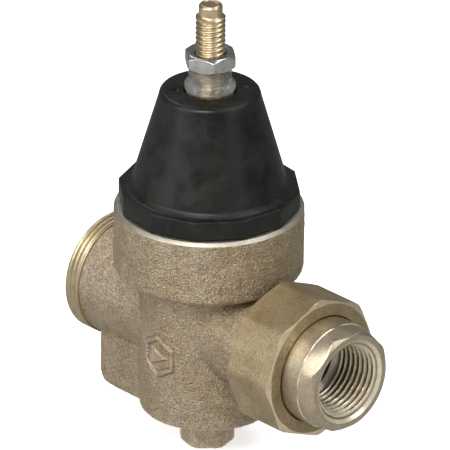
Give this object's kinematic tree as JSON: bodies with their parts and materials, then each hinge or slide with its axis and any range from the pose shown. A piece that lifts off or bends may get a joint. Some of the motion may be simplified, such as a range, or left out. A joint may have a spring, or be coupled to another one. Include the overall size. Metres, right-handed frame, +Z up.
{
  "type": "water pressure regulator",
  "caption": "Direct-acting water pressure regulator: cast bronze body, black bell spring cage with adjusting screw, threaded port and union connection.",
  "frame": {"origin": "centre of the flat foot under the body, on the axis of the adjusting screw", "axes": "+Z up along the adjusting screw, +X along the flow axis towards the union, +Y across the body"},
  "size_m": [0.0976, 0.0532, 0.1345],
  "materials": {
    "cast_bronze": "sand cast, tumbled, matt",
    "nut_bronze": "fine cast with satin edges",
    "satin_bronze": "machined satin",
    "brass": "machined bright",
    "zinc_steel": "bright zinc plate",
    "spring_steel": "drawn wire, oiled",
    "stainless": "turned",
    "black_plastic": "moulded, satin",
    "nylon": "natural, milky translucent",
    "rubber": "moulded, matt",
    "fibre": "pressed fibre"
  },
  "bodies": {
    "valve_casing": {"valve_body": "cast_bronze", "spring_cage": "black_plastic", "cage_thread_insert": "brass", "seal_sleeve": "nylon", "slip_ring": "fibre", "seat_ring": "stainless", "seat_oring": "rubber", "strainer_screen": "stainless", "guide_bushing": "nylon", "stem_oring": "rubber", "union_gasket": "fibre"},
    "spring_carriage": {"spring_button": "zinc_steel"},
    "screw": {"adjusting_screw": "brass"},
    "jam_nut": {"lock_nut": "zinc_steel"},
    "valve_train": {"valve_stem": "brass", "diaphragm": "rubber", "diaphragm_plate": "zinc_steel", "diaphragm_washer": "brass", "stem_nut": "zinc_steel", "disc_holder": "brass", "seat_disc": "rubber", "disc_nut": "stainless", "range_spring": "spring_steel"},
    "union_end": {"union_tailpiece": "satin_bronze"},
    "union_ring": {"union_nut": "nut_bronze"}
  },
  "joints": [
    {"name": "screw_travel", "type": "slide", "parent": "valve_casing", "child": "spring_carriage", "axis": [0, 0, -1], "range_m": [-0.004, 0.005], "deforming": ["range_spring"]},
    {"name": "screw_turn", "type": "hinge", "parent": "spring_carriage", "child": "screw", "pos_m": [0, 0, 0.12], "axis": [0, 0, -1], "range_deg": [-960, 1200]},
    {"name": "lock_nut_turn", "type": "hinge", "parent": "valve_casing", "child": "jam_nut", "pos_m": [0, 0, 0.1178], "axis": [0, 0, 1], "range_deg": [0, 90]},
    {"name": "valve_stroke", "type": "slide", "parent": "valve_casing", "child": "valve_train", "axis": [0, 0, 1], "range_m": [0, 0.003], "deforming": ["range_spring", "diaphragm"]},
    {"name": "union_release", "type": "slide", "parent": "valve_casing", "child": "union_end", "axis": [1, 0, 0], "range_m": [0, 0.009]},
    {"name": "union_nut_turn", "type": "hinge", "parent": "union_end", "child": "union_ring", "pos_m": [0.0372, 0, 0.0386], "axis": [1, 0, 0], "range_deg": [0, 2045]}
  ],
  "couplings": [
    {"joint": "screw_turn", "follows": "screw_travel", "rad_per_m": 4188.8},
    {"joint": "union_nut_turn", "follows": "union_release", "rad_per_m": 3957.9}
  ]
}
